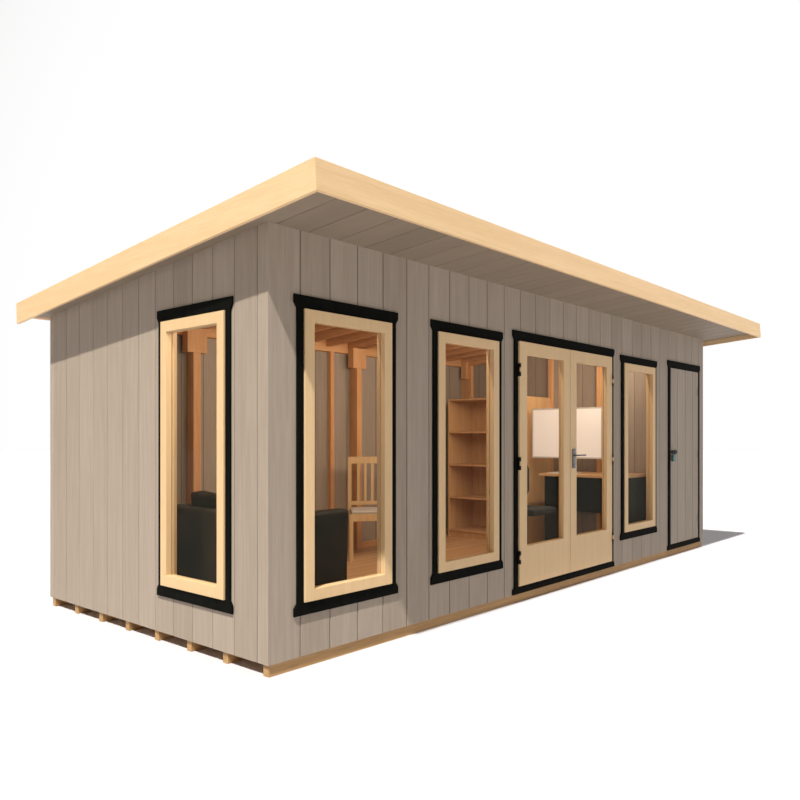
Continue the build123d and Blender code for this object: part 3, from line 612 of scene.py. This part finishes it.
def weave_finish(name, colour, thread_scale, sheen):
    material, tree, shader, place = new_material(name)
    threads = []
    for direction in "XYZ":
        thread = add_node(
            tree, "ShaderNodeTexWave", wave_type="BANDS", bands_direction=direction
        )
        thread.inputs["Scale"].default_value = thread_scale
        thread.inputs["Distortion"].default_value = 0.6
        thread.inputs["Detail"].default_value = 1.0
        tree.links.new(place, thread.inputs["Vector"])
        threads.append(thread.outputs["Fac"])
    crossed = added(tree, added(tree, threads[0], threads[1]), threads[2])
    weave = times(tree, crossed, 0.33)
    wear = noise_at(tree, place, 9.0, 4.0)
    tones = added(tree, times(tree, weave, 0.6), times(tree, wear, 0.4))
    colours = mix_colours(tree, tones, scaled(colour, 0.72), scaled(colour, 1.22))
    tree.links.new(colours, shader.inputs["Base Color"])
    rough = added(tree, times(tree, wear, 0.12), 0.8)
    tree.links.new(rough, shader.inputs["Roughness"])
    shader.inputs["Sheen Weight"].default_value = sheen
    shader.inputs["Sheen Roughness"].default_value = 0.4
    shader.inputs["Specular IOR Level"].default_value = 0.2
    add_relief(tree, shader, weave, 0.6, 0.0008)
    return material


finishes["sofa_hide"] = hide_finish("sofa_hide", (0.017, 0.011, 0.005))
finishes["pale_fabric"] = weave_finish("pale_fabric", (0.62, 0.60, 0.55), 130.0, 0.15)
finishes["dark_fabric"] = weave_finish("dark_fabric", (0.026, 0.030, 0.026), 120.0, 0.2)
print("finishes", len(finishes))

# %% [markdown]
# ## Copies that can be worked on
# The construction solids are kept as they are. Where a surface needs more than a finish, the
# script copies the solid, welds its loose triangles into one shell, works on the copy and
# puts the copy in the solid's place: it moves with the solid's body, and the solid is hidden.

# %% Working copies
weld_distance = 1e-5
flat_angle = math.radians(0.5)


def welded_copy(node, name):
    """A copy of a construction solid with its triangles joined into closed shells."""
    shell = bmesh.new()
    shell.from_mesh(nodes[node].data)
    bmesh.ops.remove_doubles(shell, verts=shell.verts, dist=weld_distance)
    bmesh.ops.dissolve_limit(
        shell, angle_limit=flat_angle, verts=shell.verts, edges=shell.edges
    )
    bmesh.ops.recalc_face_normals(shell, faces=shell.faces)
    mesh = bpy.data.meshes.new(name)
    shell.to_mesh(mesh)
    shell.free()
    return put_in_scene(name, mesh)


def settle(piece):
    """Turn what the modifiers make into the piece's own plain mesh."""
    bpy.context.view_layer.update()
    seen = piece.evaluated_get(bpy.context.evaluated_depsgraph_get())
    mesh = bpy.data.meshes.new_from_object(seen)
    piece.modifiers.clear()
    piece.data = mesh
    return piece


def body_of(node):
    """The body that a construction node moves with."""
    for name, members in frame["record"]["behaviour"]["bodies"].items():
        if node in members:
            return name
    return "root"


def stand_for(piece, node):
    """The piece takes a node's place and moves with its body; the node is hidden."""
    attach(piece, body_of(node))
    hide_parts(node)


def paint(piece, finish):
    piece.data.materials.clear()
    piece.data.materials.append(finishes[finish])


# %% [markdown]
# ## Grooved boards
# The walls, the eaves, the floor and the roof deck are tongued and grooved boards, and what
# shows of each joint is a small V. The joints repeat at one board's width, so Geometry Nodes
# cut them: a line of points one board apart, a long thin diamond-shaped bar on each point, and
# one Boolean that takes all the bars out of the sheet. The bars lie along the sheet's face, so
# only their inner half cuts, and that leaves the V. The same tree serves every sheet; its
# inputs say where the first joint is, how far apart they are and how the bars lie.

# %% Groove tree


def tree_input(tree, label, kind, default):
    socket = tree.interface.new_socket(label, in_out="INPUT", socket_type=kind)
    socket.default_value = default
    return socket


def make_groove_tree():
    tree = bpy.data.node_groups.new("board_grooves", "GeometryNodeTree")
    tree.interface.new_socket("Geometry", in_out="INPUT", socket_type="NodeSocketGeometry")
    tree_input(tree, "First Joint", "NodeSocketVector", (0.0, 0.0, 0.0))
    tree_input(tree, "Board Step", "NodeSocketVector", (0.19, 0.0, 0.0))
    tree_input(tree, "Joint Count", "NodeSocketInt", 10)
    tree_input(tree, "Joint Length", "NodeSocketFloat", 5.0)
    tree_input(tree, "Joint Turn", "NodeSocketVector", (0.0, 0.0, 0.0))
    tree_input(tree, "Groove Half Width", "NodeSocketFloat", 0.004)
    tree_input(tree, "Finish", "NodeSocketMaterial", None)
    tree.interface.new_socket("Geometry", in_out="OUTPUT", socket_type="NodeSocketGeometry")
    entry = add_node(tree, "NodeGroupInput")
    line = add_node(tree, "GeometryNodeMeshLine", mode="OFFSET")
    tree.links.new(entry.outputs["Joint Count"], line.inputs["Count"])
    tree.links.new(entry.outputs["First Joint"], line.inputs["Start Location"])
    tree.links.new(entry.outputs["Board Step"], line.inputs["Offset"])
    bar = add_node(tree, "GeometryNodeMeshCylinder")
    bar.inputs["Vertices"].default_value = 4
    tree.links.new(entry.outputs["Groove Half Width"], bar.inputs["Radius"])
    tree.links.new(entry.outputs["Joint Length"], bar.inputs["Depth"])
    copies = add_node(tree, "GeometryNodeInstanceOnPoints")
    tree.links.new(line.outputs["Mesh"], copies.inputs["Points"])
    tree.links.new(bar.outputs["Mesh"], copies.inputs["Instance"])
    turn = add_node(tree, "FunctionNodeEulerToRotation")
    tree.links.new(entry.outputs["Joint Turn"], turn.inputs["Euler"])
    tree.links.new(turn.outputs["Rotation"], copies.inputs["Rotation"])
    real = add_node(tree, "GeometryNodeRealizeInstances")
    tree.links.new(copies.outputs["Instances"], real.inputs["Geometry"])
    cut = add_node(tree, "GeometryNodeMeshBoolean", operation="DIFFERENCE", solver="EXACT")
    tree.links.new(entry.outputs["Geometry"], cut.inputs["Mesh 1"])
    tree.links.new(real.outputs["Geometry"], cut.inputs["Mesh 2"])
    plain = add_node(tree, "GeometryNodeRealizeInstances")
    tree.links.new(cut.outputs["Mesh"], plain.inputs["Geometry"])
    finish = add_node(tree, "GeometryNodeSetMaterial")
    tree.links.new(plain.outputs["Geometry"], finish.inputs["Geometry"])
    tree.links.new(entry.outputs["Finish"], finish.inputs["Material"])
    way_out = add_node(tree, "NodeGroupOutput")
    tree.links.new(finish.outputs["Geometry"], way_out.inputs["Geometry"])
    return tree


groove_tree = make_groove_tree()
bar_length = 6.0


def set_inputs(modifier, tree, values):
    """Give a Geometry Nodes modifier its values by each socket's identifier."""
    for item in tree.interface.items_tree:
        if item.item_type == "SOCKET" and item.in_out == "INPUT" and item.name in values:
            modifier[item.identifier] = values[item.name]


def cut_grooves(piece, finish, first, step, count, turn, half_width):
    """Cut a row of joints; first is a point on the first joint and step leads to the next."""
    modifier = piece.modifiers.new("grooves", "NODES")
    modifier.node_group = groove_tree
    values = {
        "First Joint": first,
        "Board Step": step,
        "Joint Count": count,
        "Joint Length": bar_length,
        "Joint Turn": turn,
        "Groove Half Width": half_width,
        "Finish": finishes[finish],
    }
    set_inputs(modifier, groove_tree, values)
    settle(piece)


# %% [markdown]
# ### The outer walls
# The boards stand upright, and their joints line up along the whole front, over windows and
# doors too. Each wall sheet is cut twice: deep joints outside, fine ones inside, where the
# backs of the boards show between the studs.

# %% Walls
outer_groove = 5.0 * MM
inner_groove = 1.6 * MM
edge_margin = 12 * MM
upright = (0.0, 0.0, 0.0)


def joints_between(low, high, start, width):
    """The first joint past low, and how many joints there are up to high."""
    first_number = math.ceil((low + edge_margin - start) / width)
    last_number = math.floor((high - edge_margin - start) / width)
    return start + first_number * width, last_number - first_number + 1


def grooved_wall(node, finish, axis, start):
    """A wall sheet with upright joints on both of its faces; axis is the wall's own run."""
    piece = welded_copy(node, node + "_boards")
    low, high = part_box(node)
    across = 1 - axis
    first, count = joints_between(low[axis], high[axis], start, board_width)
    outer_first = low[across] < 0
    sizes = (outer_groove, inner_groove) if outer_first else (inner_groove, outer_groove)
    for face, half_width in zip((low[across], high[across]), sizes):
        place = [0.0, 0.0, 1.0]
        place[axis] = first
        place[across] = face
        step = [0.0, 0.0, 0.0]
        step[axis] = board_width
        cut_grooves(piece, finish, place, step, count, upright, half_width)
    stand_for(piece, node)


front_walls = [
    "front_wall_left",
    "front_wall_over_doors",
    "front_wall_right",
    "front_wall_over_store_door",
    "front_wall_end",
]
for node in front_walls + ["back_wall", "store_door_boards"]:
    grooved_wall(node, "painted_front", 0, left_edge)
for node in ("left_wall", "right_wall", "partition_lining"):
    grooved_wall(node, "painted_end", 1, end_start)
print("walls", len(front_walls) + 5)

# %% [markdown]
# ### Eaves, floor and roof deck
# The boards under the eaves run from front to back and follow the roof's slope, so their bars
# are tipped by that slope. The floor and the roof deck have narrower boards along the
# building, and their joints are finer.

# %% Eaves, floor and deck
floor_groove = 1.5 * MM
deck_groove = 2.0 * MM
along_building = (0.0, math.pi / 2, 0.0)
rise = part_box("back_wall")[1].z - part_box("front_wall_left")[1].z
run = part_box("back_wall")[0].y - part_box("front_wall_left")[0].y
slope = math.atan2(rise, run)
soffit_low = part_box("front_wall_left")[1].z


def soffit_joints():
    node = "roof_soffit"
    piece = welded_copy(node, "soffit_boards")
    low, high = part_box(node)
    first, count = joints_between(low.x, high.x, roof_start, board_width)
    middle = (low.y + high.y) / 2
    level = soffit_low + (middle - front_face) * math.tan(slope)
    place, step = (first, middle, level), (board_width, 0.0, 0.0)
    tipped = (math.pi / 2 + slope, 0.0, 0.0)
    cut_grooves(piece, "shaded_soffit_paint", place, step, count, tipped, outer_groove)
    stand_for(piece, node)


def floor_joints():
    node = "floor_deck"
    piece = welded_copy(node, "floor_boards")
    low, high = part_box(node)
    first, count = joints_between(low.y, high.y, front_face, floor_board)
    place, step = ((low.x + high.x) / 2, first, high.z), (0.0, floor_board, 0.0)
    cut_grooves(piece, "floor", place, step, count, along_building, floor_groove)
    stand_for(piece, node)


def deck_joints():
    node = "roof_deck"
    piece = welded_copy(node, "roof_deck_boards")
    low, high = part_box(node)
    first, count = joints_between(low.y, high.y, front_face, floor_board)
    fall = math.tan(slope)
    level = low.z - (high.y - first) * fall
    place = ((low.x + high.x) / 2, first, level)
    step = (0.0, floor_board, floor_board * fall)
    cut_grooves(piece, "roof_underside", place, step, count, along_building, deck_groove)
    stand_for(piece, node)


soffit_joints()
floor_joints()
deck_joints()
print("slope", round(math.degrees(slope), 2))

# %% [markdown]
# ## Softened timber
# A sawn or planed edge is never razor sharp: it is eased by a millimetre or two and catches
# light. The frames, trims, doors, fascias, studs and joists keep the solids' shape, and a
# Bevel modifier eases their edges.

# %% Softened pieces
sharp_angle = math.radians(35)
bevel_segments = 2


def softened(node, finish, width):
    """A copy of a node with its edges eased by width."""
    piece = welded_copy(node, node + "_eased")
    paint(piece, finish)
    bevel = piece.modifiers.new("eased_edges", "BEVEL")
    bevel.width = width
    bevel.segments = bevel_segments
    bevel.limit_method = "ANGLE"
    bevel.angle_limit = sharp_angle
    settle(piece)
    for face in piece.data.polygons:
        face.use_smooth = False
    stand_for(piece, node)


# Finish, eased width in millimetres, and the nodes
soft_table = [
    ("cream_upright", 2.5, [f"{side}_window_frame" for side in ("outer", "left", "right", "end")]),
    ("cream_upright", 2.0, ["left_door_leaf", "right_door_leaf"]),
    ("dark_upright", 2.0, ["window_trim", "door_trim"]),
    ("dark_upright", 1.0, ["double_door_lining", "store_door_lining"]),
    ("fascia_front", 2.0, ["front_fascia", "back_fascia"]),
    ("fascia_side", 2.0, ["side_fascias"]),
    ("bearer", 1.5, ["floor_bearers"]),
    ("frame_upright", 1.5, ["long_wall_studs", "cross_wall_studs"]),
    ("frame_upright", 1.5, ["roof_posts", "store_door_ledges"]),
    ("frame_along_x", 1.5, ["long_wall_plates", "roof_trimmers"]),
    ("frame_along_y", 1.5, ["cross_wall_plates", "roof_joists"]),
    ("furniture", 1.0, ["shelf_unit"]),
    ("furniture", 1.5, ["desk"]),
    ("chair_timber", 2.0, ["dining_chair"]),
    ("white_plastic", 2.0, ["screen_case"]),
    ("black_plastic", 1.5, ["desk_chair_frame"]),
]
for finish, width, members in soft_table:
    for node in members:
        softened(node, finish, width * MM)
print("softened", sum(len(members) for _, _, members in soft_table))

# %% [markdown]
# The desk has a pale top on a dark base, so the faces below its top take a second finish.

# %% Desk base
desk = bpy.data.objects["desk_eased"]
desk.data.materials.append(finishes["desk_base"])
desk_top = 24 * MM
top_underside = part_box("desk")[1].z - desk_top
for face in desk.data.polygons:
    if face.center.z < top_underside:
        face.material_index = 1

# %% [markdown]
# ## Cushions and upholstery
# A cushion is a cover filled until it is tight. The script starts from the solid's own shape,
# gives it an even mesh and draws it in a little, but not where it rests on its seat or back.
# Then cloth under pressure swells it for sixteen frames with gravity off: the middles crown, the
# sides pull in between the corners, and no point may move further than it was drawn in, so the
# cushion stays in the room that its solid holds. A welt is sewn around it afterwards, laid on
# the swollen surface by looking from outside towards the middle.

# %% Soft shapes
cover_pressure = 4.0
swell_frames = 16
rest_reach = 3 * MM
foot_bevel = 3 * MM
welt_points = 180
far_outside = 3.0


def loose_shells(node):
    """Each separate shell of a construction solid, as an object of its own."""
    whole = welded_copy(node, node + "_whole")
    shell = bmesh.new()
    shell.from_mesh(whole.data)
    bpy.data.objects.remove(whole)
    groups, seen = [], set()
    for seed in shell.verts:
        if seed in seen:
            continue
        group, waiting = {seed}, [seed]
        while waiting:
            vertex = waiting.pop()
            for edge in vertex.link_edges:
                other = edge.other_vert(vertex)
                if other not in group:
                    group.add(other)
                    waiting.append(other)
        seen |= group
        groups.append(group)
    pieces = []
    for number, group in enumerate(groups):
        order = sorted(group, key=lambda vertex: vertex.index)
        place = {vertex: index for index, vertex in enumerate(order)}
        own_faces = [face for face in shell.faces if face.verts[0] in group]
        faces = [[place[vertex] for vertex in face.verts] for face in own_faces]
        mesh = bpy.data.meshes.new(f"{node}_part_{number}")
        mesh.from_pydata([vertex.co.copy() for vertex in order], [], faces)
        pieces.append(put_in_scene(mesh.name, mesh))
    shell.free()
    return pieces


def corners_of(piece):
    """The piece's lowest and highest corners."""
    places = [vertex.co for vertex in piece.data.vertices]
    low = Vector([min(place[axis] for place in places) for axis in range(3)])
    high = Vector([max(place[axis] for place in places) for axis in range(3)])
    return low, high


def draw_in(piece, distance, rests):
    """Move the surface inwards, except where it rests; rests lists axes whose low side rests."""
    low, _ = corners_of(piece)
    normals = [vertex.normal.copy() for vertex in piece.data.vertices]
    for vertex, normal in zip(piece.data.vertices, normals):
        held = [axis for axis in rests if vertex.co[axis] - low[axis] < rest_reach]
        vertex.co -= normal * distance
        for axis in held:
            vertex.co[axis] = low[axis]
    return low


def swell(piece, reach, rests, low):
    """Blow the cover up as cloth; reach is how far any point may move."""
    start = [vertex.co.copy() for vertex in piece.data.vertices]
    cloth = piece.modifiers.new("cover", "CLOTH")
    cloth.settings.quality = 4
    cloth.settings.use_pressure = True
    cloth.settings.uniform_pressure_force = cover_pressure
    cloth.settings.effector_weights.gravity = 0.0
    cloth.collision_settings.use_collision = False
    cloth.point_cache.frame_start = 1
    cloth.point_cache.frame_end = swell_frames
    scene = bpy.context.scene
    for number in range(1, swell_frames + 1):
        scene.frame_set(number)
    settle(piece)
    scene.frame_set(1)
    for vertex, begin in zip(piece.data.vertices, start):
        move = vertex.co - begin
        if move.length > reach:
            vertex.co = begin + move * (reach / move.length)
        for axis in rests:
            vertex.co[axis] = max(vertex.co[axis], low[axis])


def welt(piece, thin, level, radius):
    """A sewn welt all round the piece, at one level of its thin axis."""
    corners = [vertex.co.copy() for vertex in piece.data.vertices]
    surface = BVHTree.FromPolygons(corners, [tuple(face.vertices) for face in piece.data.polygons])
    low, high = corners_of(piece)
    middle = (low + high) / 2
    middle[thin] = level
    first, second = [axis for axis in range(3) if axis != thin]
    curve = bpy.data.curves.new(piece.name + "_welt", "CURVE")
    curve.dimensions = "3D"
    curve.bevel_depth = radius
    curve.bevel_resolution = 2
    points = []
    for number in range(welt_points):
        angle = math.tau * number / welt_points
        outward = Vector((0.0, 0.0, 0.0))
        outward[first], outward[second] = math.cos(angle), math.sin(angle)
        hit = surface.ray_cast(middle + outward * far_outside, -outward)[0]
        if hit:
            points.append(hit + outward * radius * 0.2)
    spline = curve.splines.new("POLY")
    spline.points.add(len(points) - 1)
    for point, place in zip(spline.points, points):
        point.co = (*place, 1.0)
    spline.use_cyclic_u = True
    sewn = put_in_scene(curve.name, curve)
    bpy.context.view_layer.update()
    seen = sewn.evaluated_get(bpy.context.evaluated_depsgraph_get())
    mesh = bpy.data.meshes.new_from_object(seen)
    bpy.data.objects.remove(sewn)
    return mesh


def joined(meshes, name):
    """One object from several meshes, all smooth."""
    whole = bmesh.new()
    for mesh in meshes:
        whole.from_mesh(mesh)
    for face in whole.faces:
        face.smooth = True
    mesh = bpy.data.meshes.new(name)
    whole.to_mesh(mesh)
    whole.free()
    return put_in_scene(name, mesh)


def upholstered(node, finish, voxel, reach, welt_radius=0.0, hard_below=0.0):
    """The soft piece that stands for a node; shells thinner than hard_below are only eased."""
    meshes = []
    for shell in loose_shells(node):
        low, high = corners_of(shell)
        extent = high - low
        thin = min(range(3), key=lambda axis: extent[axis])
        if extent[thin] < hard_below:
            bevel = shell.modifiers.new("eased_edges", "BEVEL")
            bevel.width = foot_bevel
            bevel.segments = bevel_segments
            settle(shell)
            meshes.append(shell.data)
            bpy.data.objects.remove(shell)
            continue
        rests = [2] if thin == 2 or hard_below else [2, thin]
        even = shell.modifiers.new("even_mesh", "REMESH")
        even.mode = "VOXEL"
        even.voxel_size = voxel
        settle(shell)
        low = draw_in(shell, reach, rests)
        swell(shell, reach, rests, low)
        smooth = shell.modifiers.new("smooth", "SUBSURF")
        smooth.levels = 1
        settle(shell)
        meshes.append(shell.data)
        if welt_radius:
            low, high = corners_of(shell)
            inset = min(0.5 * (high[thin] - low[thin]), reach + welt_radius * 3)
            meshes.append(welt(shell, thin, high[thin] - inset, welt_radius))
        bpy.data.objects.remove(shell)
        print(node, "shell", [round(value, 3) for value in extent])
    piece = joined(meshes, node + "_soft")
    paint(piece, finish)
    stand_for(piece, node)
    print(piece.name, "triangles", sum(len(face.vertices) - 2 for face in piece.data.polygons))


upholstered("sofa_frame", "sofa_hide", 20 * MM, 7 * MM, hard_below=80 * MM)
upholstered("sofa_cushions", "sofa_hide", 14 * MM, 14 * MM, welt_radius=3.5 * MM)
upholstered("dining_chair_pad", "pale_fabric", 7 * MM, 5 * MM, welt_radius=2.5 * MM)
upholstered("desk_chair_cushions", "dark_fabric", 9 * MM, 8 * MM, welt_radius=2.5 * MM)

# %% [markdown]
# ## Ironmongery, glass and roof sheet
# These solids already have the right shape, so they only get a finish, in their own slots.

# %% Finishes on the solids as they are
plain_nodes = {
    "window_glass": "glass",
    "left_door_glass": "glass",
    "right_door_glass": "glass",
    "left_door_hinges": "hinge_cream",
    "right_door_hinges": "hinge_cream",
    "store_door_hinges": "hinge_metal",
    "jamb_hinge_flaps": "hinge_metal",
    "door_handle_plates": "handle_metal",
    "door_lever": "handle_metal",
    "hasp": "black_metal",
    "padlock": "padlock_metal",
    "roof_membrane": "roof_sheet",
    "screen_panel": "screen_face",
}
for node, finish in plain_nodes.items():
    for material_slot in nodes[node].material_slots:
        material_slot.material = finishes[finish]
print("plain nodes", len(plain_nodes))

# %% [markdown]
# ## The store door's pull ring
# A black ring hangs on the hasp at the door's edge: a small circle carried round a larger one,
# a little flattened from front to back. It turns with the door.

# %% Pull ring
ring_radius = 20 * MM
ring_bar = 5 * MM
ring_flatness = 0.8
ring_steps = 40
bar_steps = 12


def pull_ring():
    low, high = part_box("hasp")
    thickness = ring_bar * ring_flatness
    middle = Vector((low.x + ring_radius / 2, low.y - thickness, (low.z + high.z) / 2))
    corners, faces = [], []
    for step in range(ring_steps):
        angle = math.tau * step / ring_steps
        following = (step + 1) % ring_steps
        for side in range(bar_steps):
            lean = math.tau * side / bar_steps
            reach = ring_radius + ring_bar * math.cos(lean)
            out = thickness * math.sin(lean)
            offset = Vector((reach * math.cos(angle), out, reach * math.sin(angle)))
            corners.append(middle + offset)
            beside = (side + 1) % bar_steps
            here, there = step * bar_steps, following * bar_steps
            faces.append((here + side, here + beside, there + beside, there + side))
    mesh = bpy.data.meshes.new("pull_ring")
    mesh.from_pydata(corners, [], faces)
    for face in mesh.polygons:
        face.use_smooth = True
    ring = put_in_scene("pull_ring", mesh)
    paint(ring, "black_metal")
    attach(ring, body_of("hasp"))


pull_ring()
